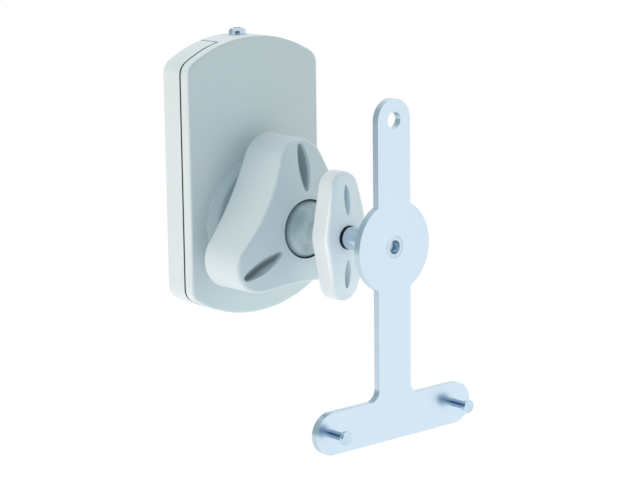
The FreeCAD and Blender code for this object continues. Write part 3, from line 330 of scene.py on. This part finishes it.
# The ball: smooth grey, clouded in upright streaks, with a few pale specks
ballLook = {
    "colour": tone(190, 207, 211),
    "dark": tone(158, 177, 182),
    "speck": tone(226, 236, 240),
    "shader": {"IOR": 1.5, "Coat Weight": 0.2, "Coat Roughness": 0.15},
    "streaks": (210.0, 4, 0.55),
    "streakStretch": (1.0, 1.0, 0.45),
    "streakEdges": (0.25, 0.80),
    "specks": (700.0, 2),
    "speckEdges": (0.70, 0.78),
    "roughness": 0.30,
    "streakRougher": 0.12,
    "satin": (500.0, 3),
    "grain": 0.015,
    "satinStrength": 0.4,
}
# Painted shade: a soft dark ring on the ball where it goes in under the knob's lip; radii from the axis
ballRimShade = {"colour": tone(84, 102, 108), "inner": 11.9, "outer": 12.6, "soft": 2.2, "back": 42.0, "front": 43.0}


def ballRimShadeMask(finish, look):
    radius, out = finish.aroundAxis()
    ring = finish.between(radius, look["inner"], look["outer"], look["soft"])
    return ring * finish.step(out, look["back"], look["front"])


def greyBall(name, look, masks):
    finish = Finish(name, look["shader"])
    streaks = finish.noise(*look["streaks"], vector=finish.stretched(look["streakStretch"]))
    mottle = finish.step(streaks, *look["streakEdges"])
    specks = finish.step(finish.noise(*look["specks"]), *look["speckEdges"])
    clouded = finish.mix(mottle, look["colour"], look["dark"])
    specked = finish.mix(specks, clouded, look["speck"])
    finish.feed("Base Color", finish.painted(specked, masks))
    finish.feed("Roughness", look["roughness"] + mottle * look["streakRougher"])
    finish.bump(finish.noise(*look["satin"]), look["grain"], look["satinStrength"])
    return finish


# Bright plated sheet: a smooth face with faint rolling streaks, and duller sheared edges
sheetLook = {
    "face": tone(217, 233, 246),
    "streak": tone(214, 231, 244),
    "edge": tone(203, 222, 233),
    "edgeShade": 0.86,
    "faceRoughness": 0.27,
    "edgeRoughness": 0.28,
    "back": 97.0,
    "front": 100.0,
    "rim": (0.09, 0.02),  # where an edge begins and is whole, in from a face
    "streaks": (26.0, 2, 0.4),
    "streakStretch": (3.0, 1.0, 0.5),
    "shearMarks": (240.0, 3, 0.6),
    "shearStretch": (1.0, 4.0, 1.0),
    "shearDepth": 0.02,
    "shearStrength": 0.6,
}


def platedSheet(name, look):
    finish = Finish(name, {"Metallic": 1.0})
    right, up, out = finish.sides()
    fromMiddle = (out - (look["back"] + look["front"]) / 2).size()
    half = (look["front"] - look["back"]) / 2
    begins, whole = look["rim"]
    edge = 1.0 - finish.step(fromMiddle, half - begins, half - whole)
    streaks = finish.noise(*look["streaks"], vector=finish.stretched(look["streakStretch"]))
    face = finish.mix(streaks, look["face"], look["streak"])
    shear = finish.noise(*look["shearMarks"], vector=finish.stretched(look["shearStretch"]))
    rim = finish.mix(shear, look["edge"], shaded(look["edge"], look["edgeShade"]))
    finish.feed("Base Color", finish.mix(edge, face, rim))
    rougher = edge * (look["edgeRoughness"] - look["faceRoughness"])
    finish.feed("Roughness", look["faceRoughness"] + rougher)
    finish.bump(shear * edge, look["shearDepth"], look["shearStrength"])
    return finish


# Turned and plated pieces: a mottled tone and fine turning marks
turned = {
    "mottle": (160.0, 3),
    "mottleEdges": (0.3, 0.75),
    "mottleRougher": 0.06,
    "marks": (900.0, 2),
    "markStrength": 0.3,
}
pinLook = {"colour": tone(210, 227, 239), "mottle": tone(200, 218, 232), "roughness": 0.20, "marks": 0.004}
pegLook = {"colour": tone(205, 226, 242), "mottle": tone(194, 217, 235), "roughness": 0.18, "marks": 0.004}
zincLook = {"colour": tone(206, 222, 236), "mottle": tone(184, 202, 218), "roughness": 0.14, "marks": 0.006}
brassLook = {"colour": tone(214, 178, 96), "mottle": tone(190, 150, 74), "roughness": 0.28, "marks": 0.015}
clipLook = {"colour": tone(70, 72, 76), "mottle": tone(50, 52, 56), "roughness": 0.36, "marks": 0.004}
marksOut = (0.15, 3.0, 0.15)  # round an axis that points out from the wall
marksUp = (0.15, 0.15, 3.0)


def turnedMetal(name, look, stretch, masks=()):
    finish = Finish(name, {"Metallic": 1.0})
    mottle = finish.step(finish.noise(*turned["mottle"]), *turned["mottleEdges"])
    mottled = finish.mix(mottle, look["colour"], look["mottle"])
    finish.feed("Base Color", finish.painted(mottled, masks))
    finish.feed("Roughness", look["roughness"] + mottle * turned["mottleRougher"])
    marks = finish.noise(*turned["marks"], vector=finish.stretched(stretch))
    finish.bump(marks, look["marks"], turned["markStrength"])
    return finish


# Painted shade: the pegs' shanks are painted darker than their heads, for the shade and dark reflections along them
pegShankShade = {"colour": tone(150, 176, 202), "headBack": 106.65, "soft": 0.1}


def pegShankShadeMask(finish, look):
    right, up, out = finish.sides()
    return 1.0 - finish.step(out, look["headBack"], look["headBack"] + look["soft"])


shellPaintedShade = [(seamShadeMask, seamShade)]
knobPaintedShade = [(mouthShadeMask, mouthShade), (scoopShadeMask, knobScoopShade)]
wingPaintedLightAndShade = [(wingFrontLightMask, wingFrontLight), (scoopShadeMask, wingScoopShade)]
dress(["wall_plate", "front_cover"], mouldedPlastic("white shell plastic", shellLook, shellPaintedShade))
dress(["socket_flange"], mouldedPlastic("white socket plastic", flangeLook))
dress(["clamp_knob"], mouldedPlastic("white knob plastic", knobLook, knobPaintedShade))
dress(["wing_knob"], mouldedPlastic("white wing plastic", wingLook, wingPaintedLightAndShade))
dress(["ball_stem"], greyBall("grey ball plastic", ballLook, [(ballRimShadeMask, ballRimShade)]))
dress(["pin_bush"], mouldedPlastic("black bush nylon and gap shade", bushAndGapShadeLook))
dress(["ball_liner"], mouldedPlastic("natural nylon", linerLook))
dress(["slip_ring"], mouldedPlastic("black ring nylon", ringLook))
dress(["seat_pad"], mouldedPlastic("friction rubber", rubberLook))
dress(["adapter_plate"], platedSheet("plated sheet", sheetLook))
dress(["pivot_pin"], turnedMetal("plated pin", pinLook, marksOut))
dress(["peg_left", "peg_right"], turnedMetal("plated peg", pegLook, marksOut, [(pegShankShadeMask, pegShankShade)]))
dress(["lock_screw"], turnedMetal("zinc plated screw", zincLook, marksUp))
dress(["lock_nut", "flange_screws", "flange_washers"], turnedMetal("zinc plated fixings", zincLook, marksOut))
dress(["wing_insert"], turnedMetal("turned brass", brassLook, marksOut))
dress(["pin_circlip"], turnedMetal("blackened spring steel", clipLook, marksOut))
print("finishes made")

# Screw threads. The CAD parts have plain cylinders there, so a ridge is wound round what shows of each
collarThread = {
    "name": "collar_thread",
    "body": "base",
    "slot": "white_plastic",
    "like": "socket_flange",
    "radius": 19.0,  # of the plain cylinder
    "start": 20.2,
    "end": 22.55,
    "pitch": 2.0,
    "foot": 1.0,
    "crest": 0.35,
    "height": 0.42,
    "sunk": 0.12,
    "ringSteps": 120,
    "fadeSteps": 12,
    "endShare": 0.1,  # of the ridge's height, left at its two ends
}
stemThread = {
    "name": "stem_thread",
    "body": "ball",
    "slot": "grey_plastic",
    "like": "ball_stem",
    "radius": 7.45,
    "start": 59.55,
    "end": 62.7,
    "pitch": 1.5,
    "foot": 0.85,
    "crest": 0.25,
    "height": 0.36,
    "sunk": 0.1,
    "ringSteps": 72,
    "fadeSteps": 9,
    "endShare": 0.1,
    "slitFrom": 61.0,
    "slitWidth": 1.0,
}
creaseAngle = 35


def chooseVertices(piece, test):
    bpy.ops.mesh.select_all(action="DESELECT")
    mesh = bmesh.from_edit_mesh(piece.data)
    for vertex in mesh.verts:
        vertex.select_set(test(vertex.co / mm))
    mesh.select_flush_mode()
    bmesh.update_edit_mesh(piece.data)


# the ridge's outline, wide at its foot and narrow at its crest, as a ring of four edges
def addProfile(look):
    bpy.ops.object.select_all(action="DESELECT")
    bpy.ops.mesh.primitive_plane_add(size=mm)
    piece = bpy.context.object
    piece.name = look["name"]
    middle = look["radius"] + (look["height"] - look["sunk"]) / 2
    bpy.ops.object.mode_set(mode="EDIT")
    bpy.ops.transform.resize(value=(look["sunk"] + look["height"], look["foot"], 1))
    bpy.ops.transform.translate(value=(middle * mm, -look["start"] * mm, 0))
    chooseVertices(piece, lambda place: place.x > middle)
    crest = (0, -look["start"] * mm, 0)
    bpy.ops.transform.resize(value=(1, look["crest"] / look["foot"], 1), center_override=crest)
    bpy.ops.mesh.select_all(action="SELECT")
    bpy.ops.mesh.delete(type="ONLY_FACE")
    bpy.ops.object.mode_set(mode="OBJECT")
    return piece


def applyModifier(piece, kind, settings):
    modifier = piece.modifiers.new(kind.lower(), kind)
    for name, value in settings.items():
        setattr(modifier, name, value)
    bpy.ops.object.modifier_apply(modifier=modifier.name)


# the ridge sinks into its cylinder over the first and last steps
def fadeEnds(piece, look, steps):
    root = (look["radius"] - look["sunk"]) * mm
    corners = len(piece.data.vertices) // (steps + 1)
    for vertex in piece.data.vertices:
        step = vertex.index // corners
        fade = min(1.0, min(step, steps - step) / look["fadeSteps"] + look["endShare"])
        radius = math.hypot(vertex.co.x, vertex.co.z)
        lower = (root + (radius - root) * fade) / radius
        vertex.co.x *= lower
        vertex.co.z *= lower


# the two crossed slits between the stem's jaws go through its ridge too
def cutSlits(piece, look):
    length, height = 4 * look["pitch"], 3 * look["radius"]  # well past the ridge
    for turn in (0, 90):
        bpy.ops.object.select_all(action="DESELECT")
        bpy.ops.mesh.primitive_cube_add(size=mm)
        cutter = bpy.context.object
        bpy.ops.object.mode_set(mode="EDIT")
        bpy.ops.transform.resize(value=(look["slitWidth"], length, height))
        bpy.ops.transform.translate(value=(0, -(look["slitFrom"] + length / 2) * mm, 0))
        bpy.ops.transform.rotate(value=math.radians(turn), orient_axis="Y", center_override=(0, 0, 0))
        bpy.ops.object.mode_set(mode="OBJECT")
        bpy.ops.object.select_all(action="DESELECT")
        piece.select_set(True)
        bpy.context.view_layer.objects.active = piece
        applyModifier(piece, "BOOLEAN", {"operation": "DIFFERENCE", "object": cutter, "solver": "EXACT"})
        bpy.data.objects.remove(cutter)


def windThread(look):
    piece = addProfile(look)
    length = look["end"] - look["start"]
    turns = length / look["pitch"]
    steps = round(turns * look["ringSteps"])
    winding = {
        "axis": "Y",
        "angle": -turns * math.tau,  # right-handed
        "screw_offset": -length * mm,
        "steps": steps,
        "render_steps": steps,
        "use_smooth_shade": True,
    }
    applyModifier(piece, "SCREW", winding)
    fadeEnds(piece, look, steps)
    bpy.ops.object.mode_set(mode="EDIT")
    bpy.ops.mesh.select_all(action="SELECT")
    bpy.ops.mesh.fill_holes(sides=4)
    bpy.ops.mesh.normals_make_consistent(inside=False)
    bpy.ops.object.mode_set(mode="OBJECT")
    if "slitFrom" in look:
        cutSlits(piece, look)
    bpy.ops.object.mode_set(mode="EDIT")
    bpy.ops.mesh.select_all(action="SELECT")
    bpy.ops.transform.translate(value=(0, 0, axisHeight * mm))
    bpy.ops.object.mode_set(mode="OBJECT")
    bpy.ops.object.shade_smooth_by_angle(angle=math.radians(creaseAngle))
    piece.data.materials.clear()
    piece.data.materials.append(nodes[look["like"]].data.materials[0])
    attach(piece, look["body"])
    return piece


threads = [windThread(look) for look in (collarThread, stemThread)]
print("threads wound:", [len(piece.data.vertices) for piece in threads])

view = {
    "place": (-557.3, -700.5, 150.4),
    "azimuth": 40.855,
    "elevation": 11.402,
    "roll": -0.680,
    "lens": 122.2,
    "sensor": 36.0,
}


def addCamera():
    a, e, roll = (math.radians(view[name]) for name in ("azimuth", "elevation", "roll"))
    back = Vector((-math.sin(a) * math.cos(e), -math.cos(a) * math.cos(e), math.sin(e)))
    right = Vector((math.cos(a), -math.sin(a), 0))
    up = Vector((math.sin(e) * math.sin(a), math.sin(e) * math.cos(a), math.cos(e)))
    rightTurned = math.cos(roll) * right + math.sin(roll) * up
    upTurned = -math.sin(roll) * right + math.cos(roll) * up
    turn = Matrix((rightTurned, upTurned, back)).transposed().to_4x4()
    bpy.ops.object.camera_add()
    camera = bpy.context.object
    camera.matrix_world = Matrix.Translation(Vector(view["place"]) * mm) @ turn
    camera.data.sensor_width = view["sensor"]
    camera.data.lens = view["lens"]
    bpy.context.scene.camera = camera


# The floor, in metres. It glows a little, and the camera and reflections see part of it as plain white
room = {
    "floorLevel": -0.17,
    "floorRadius": 0.75,
    "floorSides": 128,
    "floorColour": (0.86, 0.87, 0.88, 1),
    "roughness": 0.9,
    "glowColour": (0.9, 1, 1, 1),
    "glow": 0.27,
    "white": (1, 1, 1, 1),
    "whiteShare": 0.7,  # the rest of what is seen shows the shadow
}


def addFloor():
    bpy.ops.object.select_all(action="DESELECT")
    bpy.ops.mesh.primitive_circle_add(
        vertices=room["floorSides"],
        radius=room["floorRadius"],
        fill_type="NGON",
        location=(0, 0, room["floorLevel"]),
    )
    floor = bpy.context.object
    floor.name = "floor"
    constants = {
        "Base Color": room["floorColour"],
        "Roughness": room["roughness"],
        "Emission Color": room["glowColour"],
        "Emission Strength": room["glow"],
    }
    finish = Finish("pale floor", constants)
    seen = finish.ray("Is Camera Ray").most(finish.ray("Is Glossy Ray"))
    white = finish.node("ShaderNodeEmission", {}, {"Color": room["white"], "Strength": 1.0})
    lit = Wave(finish, finish.shader.outputs[0])
    both = finish.node("ShaderNodeMixShader", {}, {0: seen * room["whiteShare"], 1: lit, 2: white})
    finish.links.new(both.socket, finish.first("OUTPUT_MATERIAL").inputs["Surface"])
    floor.data.materials.append(finish.material)


# Soft boxes far away: azimuth from +X towards the wall, height, half width and the light's colour
softBoxes = [
    {"azimuth": 135, "height": 8, "half": 24, "colour": (2.30, 1.95, 1.68, 1)},
    {"azimuth": 178, "height": 8, "half": 24, "colour": (1.75, 1.28, 0.90, 1)},
    {"azimuth": 225, "height": 8, "half": 24, "colour": (0.50, 0.78, 1.02, 1)},
    {"azimuth": 315, "height": 8, "half": 24, "colour": (1.00, 1.28, 1.15, 1)},
    {"azimuth": 0, "height": 48, "half": 31, "colour": (2.00, 1.60, 1.56, 1)},
    {"azimuth": 90, "height": 48, "half": 31, "colour": (1.70, 1.85, 1.90, 1)},
    {"azimuth": 180, "height": 52, "half": 31, "colour": (0.20, 0.55, 0.70, 1)},
]
# What gloss and metal mirror: white, with a dark side at the room's left and a grey band over the wall at the left.
# The band's numbers are the X, Y and Z of a direction whose length is 1
studio = {
    "softEdge": 8,
    "gap": (0.02, 0.04, 0.05, 1),  # between the soft boxes
    "mirrored": (1, 1, 1, 1),
    "darkMirrored": (0.10, 0.14, 0.20, 1),
    "darkSide": (-0.62, -0.76, 0.16),
    "darkEdges": (0.74, 0.93),
    "greyMirrored": (0.44, 0.54, 0.55, 1),
    "bandBack": (0.2, 0.5),
    "bandRight": (0.1, 0.4),
    "bandHeights": (-0.3, 0.6),
    "bandSoft": 0.2,
    "seen": (1, 1, 1, 1),
}


def towards(azimuth, height):
    a, h = math.radians(azimuth), math.radians(height)
    return (math.cos(a) * math.cos(h), math.sin(a) * math.cos(h), math.sin(h))


def addStudio():
    world = bpy.data.worlds.new("studio")
    bpy.context.scene.world = world
    world.use_nodes = True
    tree = NodeTree(world.node_tree)
    direction = tree.node("ShaderNodeTexCoord", out="Generated")
    x, y, z = tree.axes(direction)
    light = studio["gap"]
    for box in softBoxes:
        square = tree.along(direction, towards(box["azimuth"], box["height"]))
        outer = math.cos(math.radians(box["half"] + studio["softEdge"]))
        inner = math.cos(math.radians(box["half"] - studio["softEdge"]))
        light = tree.mix(tree.step(square, outer, inner), light, box["colour"])
    band = tree.step(y, *studio["bandBack"]) * (1.0 - tree.step(x, *studio["bandRight"]))
    band = band * tree.between(z, *studio["bandHeights"], studio["bandSoft"])
    mirrored = tree.mix(band, studio["mirrored"], studio["greyMirrored"])
    darkness = tree.step(tree.along(direction, studio["darkSide"]), *studio["darkEdges"])
    mirrored = tree.mix(darkness, mirrored, studio["darkMirrored"])
    colour = tree.mix(tree.ray("Is Glossy Ray"), light, mirrored)
    colour = tree.mix(tree.ray("Is Camera Ray"), colour, studio["seen"])
    tree.links.new(colour.socket, tree.first("BACKGROUND").inputs["Color"])


addCamera()
addFloor()
addStudio()
bpy.context.scene.view_settings.view_transform = "Standard"
print("stage set")
